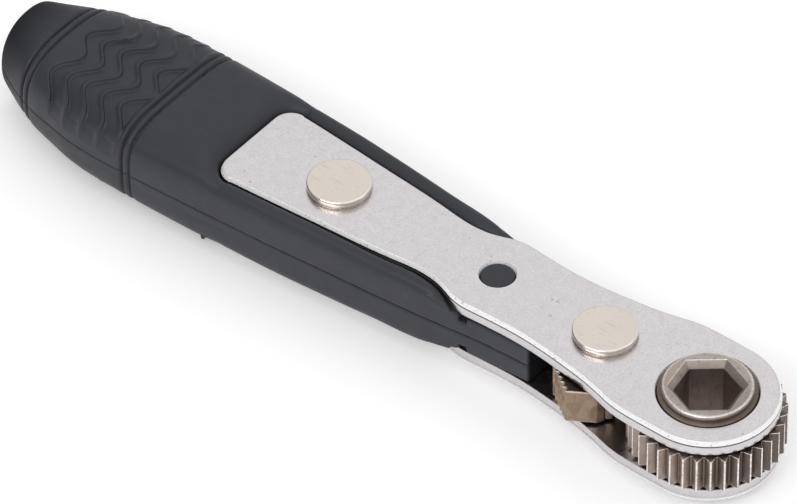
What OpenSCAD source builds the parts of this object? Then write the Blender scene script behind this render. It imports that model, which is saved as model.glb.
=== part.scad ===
// Ratchet wrench for hexagon bits: two steel side plates riveted over the
// tongue of a two-part moulded handle, a ratchet gear with a hexagon socket,
// and a reversing pawl held either way by a sprung ball.
//
// Frame: the socket's axis is Z and the origin lies on it, half way between
// the two plates. The handle runs towards -X.

/* [Ratchet gear] */
// Width across the flats of the hexagon socket
hex_af = 6.4; // [6.35:0.01:6.5]
// Width across the flats of the socket's lead-in at the collar face
hex_mouth_af = 7.6; // [7:0.1:8]
// Depth of the lead-in
hex_mouth_depth = 0.8; // [0.4:0.1:1.2]
// Diameter over the tooth tips
gear_d = 17.4; // [17:0.1:18]
// Depth of the teeth
tooth_depth = 0.8; // [0.5:0.05:0.8]
// Height of the toothed rim
gear_h = 4.5; // [4:0.1:4.8]
// Diameter of the journals that turn in the plates
journal_d = 11; // [10.4:0.1:11.4]
// Diameter of the collars round the socket
collar_d = 10.1; // [9.6:0.1:10.3]
// Rise of the collars above the plates
collar_rise = 0.9; // [0.4:0.1:1.2]

/* [Side plates] */
// Thickness of each plate
plate_t = 1.8; // [1.5:0.1:2]
// Distance between the two plates
plate_gap = 5.3; // [5.2:0.1:5.6]
// Radius of the plates' round end, about the socket's axis
plate_end_r = 8; // [7.9:0.05:8.1]
// Distance from the socket's axis to the plates' rear edge
plate_reach = 63.5; // [62:0.5:65]
// Radius of the plates' two rear corners
plate_corner_r = 2.4; // [1.5:0.1:3]
// Running clearance between a journal and its hole in the plate, on the radius
journal_clearance = 0.08; // [0.03:0.01:0.1]

/* [Pawl] */
// Distance from the socket's axis to the pawl's pivot
pivot_x = 13.9; // [13.8:0.1:14.2]
// Height of the pawl
pawl_h = 4.5; // [4:0.1:4.8]
// Turn of the pawl either side of its middle position, in degrees
pawl_swing = 12; // [11:0.5:13]
// Space left between the pawl's teeth and the gear in mesh
mesh_clearance = 0.12; // [0.08:0.01:0.2]

/* [Rivets] */
// Diameter of the rivet heads
head_d = 7.25; // [6.5:0.05:7.5]
// Height of the rivet heads
head_h = 0.9; // [0.6:0.1:1.2]
// Outside diameter of the tubular half's shank
shank_d = 4; // [3.6:0.1:4.4]
// Diameter of the pin half's shank
pin_d = 2.4; // [2:0.1:2.6]
// Distance from the socket's axis to the rear rivet
rear_rivet_x = 50.8; // [49:0.2:52]

/* [Handle] */
// Distance from the socket's axis to the end of the handle's tail
handle_reach = 96.1; // [95.5:0.1:97.5]
// Distance from the socket's axis to the front of the handle's skirts
skirt_x = 29.3; // [29:0.1:30]
// Distance from the socket's axis to the tongue's shoulders
tongue_x = 20; // [19.8:0.1:20.6]
// Diameter of the locating bosses that fill the small hole in each plate
boss_d = 3.8; // [3.4:0.1:4.2]
// Distance from the socket's axis to the locating bosses
boss_x = 28.7; // [28:0.1:29.4]
// Gap between the plates' edges and the recesses they lie in
recess_gap = 0.2; // [0.15:0.05:0.3]

/* [Grip] */
// Depth of the grooves at the two ends of the grip
groove_depth = 0.35; // [0.1:0.05:0.4]
// Depth of the wavy steps between them
wave_depth = 0.34; // [0.1:0.02:0.4]

/* [Detent] */
// Diameter of the detent ball
ball_d = 2.5; // [2.4:0.1:2.6]
// Diameter of the spring's wire
wire_d = 0.35; // [0.3:0.05:0.4]
// Travel of the ball against its spring
ball_travel = 0.5; // [0.4:0.1:0.6]

/* [Hidden] */
$fn = 96;

gear_teeth = 36;
pitch_angle = 360 / gear_teeth;
half_gap = plate_gap / 2;
// Height of the plates' outer faces, which the rivet heads sit on
head_z = half_gap + plate_t;
// Length that takes a cutter well past the part it cuts
past = 20;

// Gear: half width of a tooth's crest and of its root, in degrees at the
// middle of the gear, and how far the journals stop short of the outer faces
crest_angle = 0.5;
root_angle = 0.7;
journal_setback = 0.25;
collar_chamfer = 0.3;
shoulder_width = 1;
shoulder_clearance = 0.1;

// Pawl: radius of the nose that the ball presses on, depth of the two seats in
// it, depth of the serrations, and running clearance on the pivot
nose_r = 3.9;
seat_depth = 0.2;
serration_depth = 0.28;
serrations = 5;
pivot_clearance = 0.06;

// Rivets: clearance of the shanks in their holes, of the pin in the tube, the
// chamfer of the heads, and what each shank stops short of the other head
shank_clearance = 0.05;
pin_clearance = 0.02;
head_chamfer = 0.2;
tube_short = 0.1;
pin_short = 0.2;

// Handle: place of the tongue's nose, half width of the nose, radial clearance
// of the bosses and of the ball's bore, wall left round the core pockets, the
// step that opens out the edge of the recess, and the flared ends of the
// skirts: their length and the half widths between them, rear and front
nose_x = 18.6;
nose_half_width = 2.2;
boss_clearance = 0.1;
bore_clearance = 0.06;
core_wall = 2.6;
lip_step = 0.2;
flare_length = 4;
flare_rear_y = 4.6;
flare_front_y = 6.6;

// Tongue: the notch between each skirt and the tongue's side
notch_x = 28.2;
notch_z = 1.6;
notch_half_width = 5.2;

// Grip: half width of a groove; place of the first wavy step, the distance to
// the next, its swing along the handle and its wavelength across it; the shares
// of that distance where the drop ends and the rise to the next crest begins,
// and the share of the depth left there; where the steps fade out down the
// sides of the upper and of the lower half
groove_width = 0.2;
wave_x = -86.5;
wave_pitch = 2.6;
wave_swing = 1.05;
wave_span = 6.25;
wave_phase = 2.35;
wave_drop = 0.12;
wave_rise = 0.7;
wave_floor = 0.6;
wave_edges = [-8.6, 8];
wave_ends = [-88.7, -74.7];
wave_fade = 1.6;
upper_fade_z = 1.2;
lower_fade_z = 3.4;

// Detent: what the ball stays clear of the nose, and the spring's shape
ball_clearance = 0.05;
coil_r = 0.82;
coils = 8;
spring_length = 6.2;

// Half width of a side plate along the wrench: [x, half width]
PLATE_SIDE = [[-plate_reach, 6.55], [-60, 6.4], [-54, 6], [-48, 5.55], [-43, 5.2], [-40, 4.9], [-37.5, 4.6],
    [-35.5, 4.5], [-33.5, 4.7], [-32, 5.15], [-30.6, 5.65], [-29, 5.9], [-26, 5.75], [-22, 5.62],
    [-18.5, 5.8], [-15, 6.2], [-12, 6.65], [-9.5, 7.2], [-7.5, 7.72], [-5.8, 7.95], [-3.4, 8.02],
    [0, plate_end_r]];

// Cross-sections of the handle: [x, half width, half height, squareness]
HANDLE_SECTIONS = [[-handle_reach, 3.5, 3.9, 2.2], [0.06 - handle_reach, 3.9, 4.3, 2.2],
    [0.25 - handle_reach, 4.45, 4.8, 2.2], [0.5 - handle_reach, 4.75, 5.1, 2.2],
    [0.8 - handle_reach, 5, 5.3, 2.2], [2.4 - handle_reach, 5.9, 5.4, 2.25],
    [4.6 - handle_reach, 7, 5.5, 2.4], [7.4 - handle_reach, 8.1, 5.65, 2.7],
    [10.6 - handle_reach, 8.75, 5.75, 3.1], [-82, 9.4, 5.85, 3.4], [-78, 9.65, 5.9, 3.6],
    [-73, 9.55, 5.85, 3.8], [-65, 9.15, 5.7, 4.5],
    [-60, 8.85, 5.6, 5], [-54, 8.5, 5.45, 5.5], [-48, 8, 5.3, 6], [-44, 7.7, 5.2, 6],
    [-40, 7.4, 5, 6], [-36, 7.05, 4.9, 6.5], [-31, 6.5, 4.78, 7], [-27, 6, 4.7, 7],
    [-23, 5.72, 4.6, 7], [-18, 5.5, 4.5, 7]];

// Value in column c of a table at x, on a smooth curve through its rows
function tangent(t, c, i) =
    let (a = max(i - 1, 0), b = min(i + 1, len(t) - 1))
    (t[b][c] - t[a][c]) / (t[b][0] - t[a][0]);
function hermite(t, c, i, x) =
    let (h = t[i + 1][0] - t[i][0], u = (x - t[i][0]) / h)
    t[i][c] * (2 * u ^ 3 - 3 * u ^ 2 + 1) + t[i + 1][c] * (3 * u ^ 2 - 2 * u ^ 3)
    + h * tangent(t, c, i) * (u ^ 3 - 2 * u ^ 2 + u) + h * tangent(t, c, i + 1) * (u ^ 3 - u ^ 2);
function row_before(t, x) = max([0, for (i = [0 : len(t) - 2]) if (t[i][0] <= x) i]);
function smooth(t, c, x) = hermite(t, c, row_before(t, x), x);

// Outline of a side plate, grown by g all round
function plate_half(g) =
    let (rear = -plate_reach - g, r = plate_corner_r + g, w = smooth(PLATE_SIDE, 1, -plate_reach) + g)
    concat(
        [for (a = [180 : -15 : 90]) [rear + r + r * cos(a), w - r + r * sin(a)]],
        [for (x = [-60.75 : 0.75 : 0]) [x, smooth(PLATE_SIDE, 1, x) + g]],
        [for (a = [84 : -6 : 6]) [(plate_end_r + g) * cos(a), (plate_end_r + g) * sin(a)]],
        [[plate_end_r + g, 0]]);
function both_sides(half) =
    concat(half, [for (i = [len(half) - 1 : -1 : 0]) if (half[i][1] > 0) [half[i][0], -half[i][1]]]);

// Gear profile with a tip at every multiple of the pitch angle, grown by g
function gear_points(g) =
    let (tip = gear_d / 2 + g, root = tip - tooth_depth, mid = pitch_angle / 2)
    let (tooth = [[-crest_angle, tip], [crest_angle, tip],
        [mid - root_angle, root], [mid + root_angle, root]])
    [for (i = [0 : gear_teeth - 1], p = tooth)
        [p[1] * cos(i * pitch_angle + p[0]), p[1] * sin(i * pitch_angle + p[0])]];

// Hexagonal frustum between two heights, built from flat sides
module hex_frustum(af_low, af_high, h) {
    long = 2 * af_high;
    intersection_for (a = [0, 60, 120])
        rotate([0, 0, a])
            translate([-long / 2, 0, 0])
                rotate([90, 0, 90])
                    linear_extrude(long)
                        polygon([[-af_low / 2, 0], [af_low / 2, 0], [af_high / 2, h], [-af_high / 2, h]]);
}

module ratchet_gear() {
    top = head_z + collar_rise;
    shoulder_z = half_gap - shoulder_clearance;
    journal_z = head_z - journal_setback;
    collar_r = collar_d / 2;
    journal_r = journal_d / 2;
    shoulder_r = journal_r + shoulder_width;
    profile = [[0, -top], [collar_r - collar_chamfer, -top], [collar_r, collar_chamfer - top],
        [collar_r, -journal_z], [journal_r, -journal_z], [journal_r, -shoulder_z],
        [shoulder_r, -shoulder_z], [shoulder_r, 0]];
    color("rosybrown")
        difference() {
            union() {
                translate([0, 0, -gear_h / 2])
                    linear_extrude(gear_h)
                        polygon(gear_points(0));
                for (m = [0, 1])
                    mirror([0, 0, m])
                        rotate_extrude()
                            polygon(profile);
            }
            // A corner of the hexagon lines up with a tooth
            rotate([0, 0, 4 * pitch_angle]) {
                translate([0, 0, -past])
                    linear_extrude(2 * past)
                        circle(d = hex_af / cos(30), $fn = 6);
                for (m = [0, 1])
                    mirror([0, 0, m])
                        translate([0, 0, top - hex_mouth_depth])
                            hex_frustum(hex_af, hex_af + 2 * (hex_mouth_af - hex_af), 2 * hex_mouth_depth);
            }
        }
}

// One side plate, lying above the middle of the wrench
module side_plate() {
    color("gainsboro")
        difference() {
            translate([0, 0, half_gap])
                linear_extrude(plate_t)
                    polygon(both_sides(plate_half(0)));
            cylinder(r = journal_d / 2 + journal_clearance, h = past);
            for (x = [pivot_x, rear_rivet_x])
                translate([-x, 0, 0])
                    cylinder(r = shank_d / 2 + shank_clearance, h = past);
            translate([-boss_x, 0, 0])
                cylinder(r = boss_d / 2 + boss_clearance, h = past);
        }
}

module top_side_plate() {
    side_plate();
}

module bottom_side_plate() {
    mirror([0, 0, 1])
        side_plate();
}

// Half of the pawl's outline about its pivot, in its middle position, from the
// nose at the rear round to the front
function pawl_half() =
    concat(
        [for (a = [180 : -6 : 144]) [nose_r * cos(a), nose_r * sin(a)]],
        [[-2.3, 3.2], [-1.9, 4.4], [-1.7, 5.95]],
        thumb_flank([-1.7, 5.95], [2.15, 7.5], serrations),
        [[2.4, 7.45], [4.74, 5.11], [5.08, 4.1], [6.1, 3.75], [6.1, 1.5], [4.7, 0]]);
// Serrated flank of a thumb lobe, from p to q with n notches
function thumb_flank(p, q, n) =
    let (d = (q - p) / (4 * n), out = [-d[1], d[0]] / norm(d))
    [for (i = [1 : 4 * n]) let (s = i % 4 == 2 || i % 4 == 3 ? serration_depth : 0) p + i * d - s * out];

module pawl_blank() {
    half = pawl_half();
    polygon(concat(half, [for (i = [len(half) - 2 : -1 : 1]) [half[i][0], -half[i][1]]]));
}

// The gear's space in the pawl's own frame, with the pawl turned by a
module gear_space(a) {
    rotate(-a)
        translate([pivot_x, 0])
            polygon(gear_points(mesh_clearance));
}

module reversing_pawl() {
    ball_r = ball_d / 2;
    color("tan")
        translate([-pivot_x, 0, 0])
            rotate([0, 0, -pawl_swing])
                difference() {
                    translate([0, 0, -pawl_h / 2])
                        linear_extrude(pawl_h)
                            difference() {
                                pawl_blank();
                                // Mesh at both ends of the swing, and room between
                                for (a = [-pawl_swing : 1 : pawl_swing])
                                    gear_space(a);
                                for (a = [-pawl_swing / 2, 0, pawl_swing / 2])
                                    rotate(-a)
                                        translate([pivot_x, 0])
                                            circle(d = gear_d + mesh_clearance);
                            }
                    translate([0, 0, -past])
                        cylinder(r = shank_d / 2 + pivot_clearance, h = 2 * past);
                    // Two shallow seats that the detent ball settles in
                    for (a = [-pawl_swing, pawl_swing])
                        rotate([0, 0, 180 + a])
                            translate([nose_r + ball_r - seat_depth, 0, 0])
                                sphere(r = ball_r);
                }
}

// Tubular half of a rivet: head below, open shank above
module rivet_tube(x) {
    color("antiquewhite")
        translate([-x, 0, 0])
            difference() {
                union() {
                    rivet_head(-1);
                    translate([0, 0, -head_z])
                        cylinder(d = shank_d, h = 2 * head_z - tube_short);
                }
                translate([0, 0, -head_z])
                    cylinder(r = pin_d / 2 + pin_clearance, h = 2 * head_z);
            }
}

// Solid half of a rivet: head above, pin inside the tube
module rivet_pin(x) {
    color("antiquewhite")
        translate([-x, 0, 0]) {
            rivet_head(1);
            translate([0, 0, pin_short - head_z])
                cylinder(d = pin_d, h = 2 * head_z - pin_short + head_h / 2);
        }
}

// Flat chamfered rivet head on the outside of a plate
module rivet_head(side) {
    r = head_d / 2;
    mirror([0, 0, side < 0 ? 1 : 0])
        translate([0, 0, head_z])
            rotate_extrude()
                polygon([[0, 0], [r, 0], [r, head_h - head_chamfer],
                    [r - head_chamfer, head_h], [0, head_h]]);
}

module pivot_rivet_tube() {
    rivet_tube(pivot_x);
}

module pivot_rivet_pin() {
    rivet_pin(pivot_x);
}

module rear_rivet_tube() {
    rivet_tube(rear_rivet_x);
}

module rear_rivet_pin() {
    rivet_pin(rear_rivet_x);
}

// Upper half of one handle cross-section, right to left over the top
ARC_STEPS = 20;
function power(v, e) = sign(v) * abs(v) ^ e;
function section_ring(x, fade_z) =
    let (a = smooth(HANDLE_SECTIONS, 1, x), b = smooth(HANDLE_SECTIONS, 2, x))
    let (e = 2 / smooth(HANDLE_SECTIONS, 3, x))
    [for (i = [0 : ARC_STEPS])
        let (t = 180 * i / ARC_STEPS, y = a * power(cos(t), e), z = b * power(sin(t), e))
        let (d = groove_cut(x) + wave_cut(x, y, z, fade_z))
        [x, y * (1 - d / a), z * (1 - d / b)]];

// What the grip's pattern takes off the skin: grooves round it, and steps that
// rise to a wavy crest and drop sharply on its front side
GROOVES = [-90.35, -89.3, -74.15, -73.1];
function unit(v) = min(1, max(0, v));
function groove_cut(x) = groove_depth * max([for (g = GROOVES) exp(-((x - g) / groove_width) ^ 2)]);
function wave_cut(x, y, z, fade_z) =
    let (across = min(wave_edges[1], max(wave_edges[0], y)))
    let (crest = wave_x + wave_swing * cos(360 * (across + wave_phase) / wave_span))
    let (s = (x - crest) / wave_pitch, u = s - floor(s))
    let (step = s < 0 ? 0
        : u < wave_drop ? u / wave_drop
        : u < wave_rise ? 1 - (1 - wave_floor) * (u - wave_drop) / (wave_rise - wave_drop)
        : wave_floor * (1 - u) / (1 - wave_rise))
    wave_depth * step * unit((z - fade_z) / wave_fade)
        * unit(2 * (x - wave_ends[0])) * unit(2 * (wave_ends[1] - x));

// Solid upper half of the handle, lofted through its cross-sections, which lie
// closest together where the grip's pattern is
module handle_loft(fade_z) {
    grooved = [-0.4, -0.2, 0, 0.2, 0.4];
    grip = [-88.6, -74.9];
    front = -71.5;
    stations = concat(
        [for (d = [0, 0.06, 0.25, 0.5, 0.8, 1.6, 2.6, 3.6, 4.6]) d - handle_reach],
        [for (i = [0, 1], d = grooved) GROOVES[i] + d],
        [for (i = [0 : 27]) grip[0] + (grip[1] - grip[0]) * i / 27],
        [for (i = [2, 3], d = grooved) GROOVES[i] + d],
        [for (i = [0 : 22]) front + (-nose_x - front) * i / 22]);
    rings = [for (x = stations) section_ring(x, fade_z)];
    n = ARC_STEPS + 1;
    last = len(rings) - 1;
    polyhedron(
        points = [for (r = rings) each r],
        faces = concat(
            [[for (i = [0 : n - 1]) i]],
            [[for (i = [n - 1 : -1 : 0]) last * n + i]],
            [for (k = [0 : last - 1], i = [0 : n - 2])
                let (a = k * n + i, b = a + n)
                each [[a, b, a + 1], [a + 1, b, b + 1]]],
            [for (k = [0 : last - 1])
                let (a = k * n, b = a + n)
                each [[b, a, b + n - 1], [b + n - 1, a, b - 1]]]),
        convexity = 4);
}

// Pocket that cores out the inside of a handle half between two places
module core_pocket(x0, x1) {
    half = [for (i = [0 : 6])
        let (x = x0 + (x1 - x0) * i / 6)
        [x, smooth(HANDLE_SECTIONS, 1, x) - core_wall]];
    translate([0, 0, -half_gap])
        linear_extrude(2 * half_gap)
            polygon(both_sides(half));
}

// One handle half, above the middle of the wrench
module handle_shell(fade_z) {
    bore_length = 11.4;
    boss_set_in = 0.1;
    color("dimgray") {
        difference() {
            handle_loft(fade_z);
            // Recess for the plate, with its edge opened out in two steps
            translate([0, 0, half_gap])
                linear_extrude(past)
                    polygon(both_sides(plate_half(recess_gap)));
            translate([0, 0, head_z])
                linear_extrude(past)
                    polygon(both_sides(plate_half(recess_gap + lip_step)));
            // The skirts stop where the plate widens, behind a flared gap; the
            // tongue goes on between the plates
            translate([-skirt_x, -past / 2, half_gap])
                cube(past);
            translate([-skirt_x, 0, half_gap])
                linear_extrude(past)
                    polygon(both_sides([[-flare_length, flare_rear_y], [0, flare_front_y], [0, 0]]));
            // Shoulders of the tongue beside its nose, and the notches that part
            // the tongue from the skirts
            for (m = [0, 1])
                mirror([0, m, 0]) {
                    translate([-tongue_x, nose_half_width, -past / 2])
                        cube(past);
                    translate([-skirt_x, notch_half_width, notch_z])
                        cube([skirt_x - notch_x, past, past]);
                }
            translate([-rear_rivet_x, 0, -past / 2])
                cylinder(r = shank_d / 2 + shank_clearance, h = past);
            // Bore for the detent ball and its spring
            translate([-nose_x - bore_length, 0, 0])
                rotate([0, 90, 0])
                    cylinder(r = ball_d / 2 + bore_clearance, h = past);
            core_pocket(-91, -76);
            core_pocket(-73, -66);
        }
        translate([-boss_x, 0, half_gap - boss_set_in])
            cylinder(d = boss_d, h = plate_t);
    }
}

module handle_upper_shell() {
    handle_shell(upper_fade_z);
}

module handle_lower_shell() {
    mirror([0, 0, 1])
        handle_shell(lower_fade_z);
}

// Place of the ball's centre, just clear of the pawl's nose
BALL_X = -pivot_x - nose_r - ball_clearance - ball_d / 2;

module detent_ball() {
    color("lightgray")
        translate([BALL_X, 0, 0])
            sphere(d = ball_d);
}

// Compression spring at the length it has when the ball is pushed back: a
// helix of round wire with a closed coil at each end
module detent_spring() {
    sides = 8;
    steps = 16;
    front = BALL_X - ball_travel - ball_d / 2;
    n = coils * steps;
    closed = wire_d * 1.05;
    function lift(i) =
        let (u = i / steps)
        u < 1 ? u * closed : u > coils - 1 ? spring_length - (coils - u) * closed
            : closed + (u - 1) * (spring_length - 2 * closed) / (coils - 2);
    rings = [for (i = [0 : n])
        let (a = 360 * i / steps)
        [for (k = [0 : sides - 1])
            let (b = 360 * k / sides, r = coil_r + wire_d / 2 * cos(b))
            [front - lift(i) - wire_d / 2 * sin(b), r * cos(a), r * sin(a)]]];
    color("silver")
        polyhedron(
            points = [for (r = rings) each r],
            faces = concat(
                [[for (k = [0 : sides - 1]) k]],
                [[for (k = [sides - 1 : -1 : 0]) n * sides + k]],
                [for (i = [0 : n - 1], k = [0 : sides - 1])
                    let (j = (k + 1) % sides)
                    each [[i * sides + k, (i + 1) * sides + k, i * sides + j],
                        [i * sides + j, (i + 1) * sides + k, (i + 1) * sides + j]]]),
            convexity = 10);
}

handle_upper_shell();
handle_lower_shell();
top_side_plate();
bottom_side_plate();
ratchet_gear();
reversing_pawl();
pivot_rivet_tube();
pivot_rivet_pin();
rear_rivet_tube();
rear_rivet_pin();
detent_ball();
detent_spring();
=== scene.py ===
import math

import bpy
import numpy as np
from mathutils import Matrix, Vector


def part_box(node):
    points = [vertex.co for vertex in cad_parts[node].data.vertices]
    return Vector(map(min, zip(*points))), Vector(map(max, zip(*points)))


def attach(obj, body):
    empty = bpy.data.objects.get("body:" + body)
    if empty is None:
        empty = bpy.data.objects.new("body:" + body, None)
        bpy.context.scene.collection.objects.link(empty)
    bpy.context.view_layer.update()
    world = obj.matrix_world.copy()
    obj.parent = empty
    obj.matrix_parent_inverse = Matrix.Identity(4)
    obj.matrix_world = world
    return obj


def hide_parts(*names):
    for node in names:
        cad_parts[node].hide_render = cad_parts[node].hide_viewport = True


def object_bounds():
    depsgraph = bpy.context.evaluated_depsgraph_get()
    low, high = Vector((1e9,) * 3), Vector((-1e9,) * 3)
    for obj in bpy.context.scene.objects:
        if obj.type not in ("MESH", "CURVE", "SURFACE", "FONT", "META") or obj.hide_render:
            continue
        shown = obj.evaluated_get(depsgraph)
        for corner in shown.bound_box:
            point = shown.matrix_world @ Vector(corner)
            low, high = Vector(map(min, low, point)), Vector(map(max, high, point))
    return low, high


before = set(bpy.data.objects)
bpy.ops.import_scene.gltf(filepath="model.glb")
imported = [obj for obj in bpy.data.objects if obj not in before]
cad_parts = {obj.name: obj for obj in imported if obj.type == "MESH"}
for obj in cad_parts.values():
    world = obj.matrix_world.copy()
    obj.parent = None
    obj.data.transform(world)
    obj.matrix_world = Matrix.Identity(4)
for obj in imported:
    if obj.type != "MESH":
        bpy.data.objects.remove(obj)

import openvdb
from mathutils import Matrix, Vector, geometry

CAD_BOX = [list(c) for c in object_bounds()]
MM = 0.001

# Camera, in millimetres and degrees: found from the plate edges, the hexagon corners and the rivet heads.
# Its clipping distances are in metres
CAM_AZ, CAM_EL, CAM_ROLL = 39.301, 43.999, -0.551
CAM_PLACE = (435.413, -583.924, 728.147)
CAM_LENS, CAM_SENSOR = 433.588, 36.0
CAM_CLIP = (0.05, 20)

# Sizes and places that are the CAD model's too, in millimetres and degrees
GEAR_TEETH = 36
TOOTH_DEPTH, CREST_ANGLE, ROOT_ANGLE = 0.8, 0.5, 0.7
HEX_AF, HEX_MOUTH_AF, HEX_MOUTH_DEPTH = 6.4, 7.6, 0.8
# Turn of the hexagon's corner from the handle's axis
HEX_TURN = 40.0
PLATE_HOLE_R, BOSS_HOLE_R = 5.58, 2.0
PLATE_GAP_Z = 2.65
PLATE_CORNER_R = 2.4
BOSS_X, BOSS_R = -28.7, 1.9
PAWL_SWING, MESH_CLEARANCE, SERRATION_DEPTH = 12, 0.12, 0.28
NOSE_R = 3.9
BALL_R, BALL_TO_PIVOT = 1.25, 4.95
TONGUE_NOSE_X, TONGUE_SHOULDER_X, NOSE_HALF_WIDTH = -18.6, -20.0, 2.2
BORE_R, BORE_END_X = 1.31, -30.0
PLATE_SIDE = [(-63.5, 6.55), (-60, 6.4), (-54, 6), (-48, 5.55), (-43, 5.2), (-40, 4.9), (-37.5, 4.6),
    (-35.5, 4.5), (-33.5, 4.7), (-32, 5.15), (-30.6, 5.65), (-29, 5.9), (-26, 5.75), (-22, 5.62),
    (-18.5, 5.8), (-15, 6.2), (-12, 6.65), (-9.5, 7.2), (-7.5, 7.72), (-5.8, 7.95), (-3.4, 8.02), (0, 8.0)]
HANDLE_SECTIONS = [(-96.1, 3.5, 3.9, 2.2), (-96.04, 3.9, 4.3, 2.2), (-95.85, 4.45, 4.8, 2.2),
    (-95.6, 4.75, 5.1, 2.2), (-95.3, 5, 5.3, 2.2), (-93.7, 5.9, 5.4, 2.25), (-91.5, 7, 5.5, 2.4),
    (-88.7, 8.1, 5.65, 2.7), (-85.5, 8.75, 5.75, 3.1), (-82, 9.4, 5.85, 3.4), (-78, 9.65, 5.9, 3.6),
    (-73, 9.55, 5.85, 3.8), (-65, 9.15, 5.7, 4.5), (-60, 8.85, 5.6, 5), (-54, 8.5, 5.45, 5.5),
    (-48, 8, 5.3, 6), (-44, 7.7, 5.2, 6), (-40, 7.4, 5, 6), (-36, 7.05, 4.9, 6.5), (-31, 6.5, 4.78, 7),
    (-27, 6, 4.7, 7), (-23, 5.72, 4.6, 7), (-18, 5.5, 4.5, 7)]

# How far the border of a flat face is held in from its rounded edge
FLAT_BORDER = 0.06


def mm_box(node):
    """A CAD node's box, in millimetres."""
    low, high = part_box(node)
    return np.array(low) / MM, np.array(high) / MM


def hermite_table(table, xs):
    """The same smooth curve through a table's rows as the CAD model uses."""
    t = np.array(table, float)
    x = t[:, 0]
    n = len(x)
    lo, hi = np.clip(np.arange(n) - 1, 0, n - 1), np.clip(np.arange(n) + 1, 0, n - 1)
    slope = (t[hi, 1:] - t[lo, 1:]) / (x[hi] - x[lo])[:, None]
    xs = np.clip(np.asarray(xs, float), x[0], x[-1])
    i = np.clip(np.searchsorted(x, xs, side="right") - 1, 0, n - 2)
    h = x[i + 1] - x[i]
    u = ((xs - x[i]) / h)[:, None]
    h = h[:, None]
    return (t[i, 1:] * (2 * u ** 3 - 3 * u ** 2 + 1) + t[i + 1, 1:] * (3 * u ** 2 - 2 * u ** 3)
        + h * slope[i] * (u ** 3 - 2 * u ** 2 + u) + h * slope[i + 1] * (u ** 3 - u ** 2))


# ---------------------------------------------------------------- meshes
def new_object(name, verts, faces, angle=32.0, edge=None):
    """A mesh from millimetres. edge is 1 on a bright worn edge, which on the plates is a painted highlight,
    and
    -1 in dark lines and in painted shade, for the materials.
    Edges sharper than angle are shaded sharp."""
    me = bpy.data.meshes.new(name)
    me.from_pydata([(v[0] * MM, v[1] * MM, v[2] * MM) for v in verts], [], faces)
    if edge is not None:
        me.attributes.new("edge", "FLOAT", "POINT").data.foreach_set("value", np.asarray(edge, np.float32))
    me.validate()
    me.update()
    o = bpy.data.objects.new(name, me)
    bpy.context.scene.collection.objects.link(o)
    me.polygons.foreach_set("use_smooth", [True] * len(me.polygons))
    me.set_sharp_from_angle(angle=math.radians(angle))
    return o


def offset_loop(loop, d):
    """Moves each corner of a closed outline inwards by d, for a loop that runs anticlockwise."""
    p = np.asarray(loop, float)
    e1 = p - np.roll(p, 1, axis=0)
    e2 = np.roll(p, -1, axis=0) - p
    n1 = np.stack([-e1[:, 1], e1[:, 0]], 1) / np.linalg.norm(e1, axis=1)[:, None]
    n2 = np.stack([-e2[:, 1], e2[:, 0]], 1) / np.linalg.norm(e2, axis=1)[:, None]
    b = n1 + n2
    scale = np.clip(2 / np.maximum((b * b).sum(1), 0.4), 0, 2.2)
    return p + d * b / 2 * scale[:, None]


def circle(r, n, cx=0.0, cy=0.0, start=0.0):
    """n points of a circle, anticlockwise from the angle start."""
    a = math.radians(start) + np.arange(n) * 2 * math.pi / n
    return np.stack([cx + r * np.cos(a), cy + r * np.sin(a)], 1)


def prism(outer, holes, profile, crest=None, hole_share=1.0):
    """A plate with rounded edges: profile is [(inset, z, edge), ...] from the bottom up, and crest adds an
    edge value for each corner of the outline. Holes are anticlockwise too, and open outwards by hole_share
    of the inset. Returns vertices, faces and edge values."""
    verts, faces, edge = [], [], []
    caps = {0: [], len(profile) - 1: []}
    for k, loop in enumerate([outer, *holes]):
        loop = np.asarray(loop, float)
        n = len(loop)
        base = len(verts)
        for level, (inset, z, bright) in enumerate(profile):
            ring = offset_loop(loop, inset if k == 0 else -inset * hole_share)
            if level in caps:
                caps[level].append((len(verts), ring, z))
            verts += [(x, y, z) for x, y in ring]
            on_wall = k == 0 and crest is not None and level not in caps
            edge += list(np.clip(bright + np.asarray(crest), -1, 1)) if on_wall else [bright] * n
        for level in range(len(profile) - 1):
            a, b = base + level * n, base + (level + 1) * n
            for i in range(n):
                j = (i + 1) % n
                quad = (a + i, a + j, b + j, b + i)
                faces.append(quad if k == 0 else quad[::-1])
    for level, rings in caps.items():
        index = [start + i for start, ring, _ in rings for i in range(len(ring))]
        flat = [[Vector((x, y, 0)) for x, y in ring] for _, ring, _ in rings]
        for tri in geometry.tessellate_polygon(flat):
            pts = [verts[index[i]] for i in tri]
            area = sum(pts[i][0] * pts[(i + 1) % 3][1] - pts[(i + 1) % 3][0] * pts[i][1] for i in range(3))
            if abs(area) < 1e-9:
                continue
            up = level != 0
            t = tri if (area > 0) == up else tri[::-1]
            faces.append(tuple(index[i] for i in t))
    return verts, faces, edge


def revolve(profile, n=96, cx=0.0, cy=0.0):
    """Turns [(r, z), ...] or [(r, z, edge), ...] about a vertical axis. A radius of 0 closes the end."""
    verts, faces, edge, rings = [], [], [], []
    for r, z, *bright in profile:
        edge += (bright or [0.0]) * (1 if r < 1e-6 else n)
        if r < 1e-6:
            rings.append([len(verts)])
            verts.append((cx, cy, z))
        else:
            rings.append(list(range(len(verts), len(verts) + n)))
            verts += [(x, y, z) for x, y in circle(r, n, cx, cy)]
    for a, b in zip(rings, rings[1:]):
        for i in range(n):
            j = (i + 1) % n
            if len(a) == 1:
                faces.append((a[0], b[j], b[i]))
            elif len(b) == 1:
                faces.append((a[i], a[j], b[0]))
            else:
                faces.append((a[i], a[j], b[j], b[i]))
    return verts, faces, edge


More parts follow.
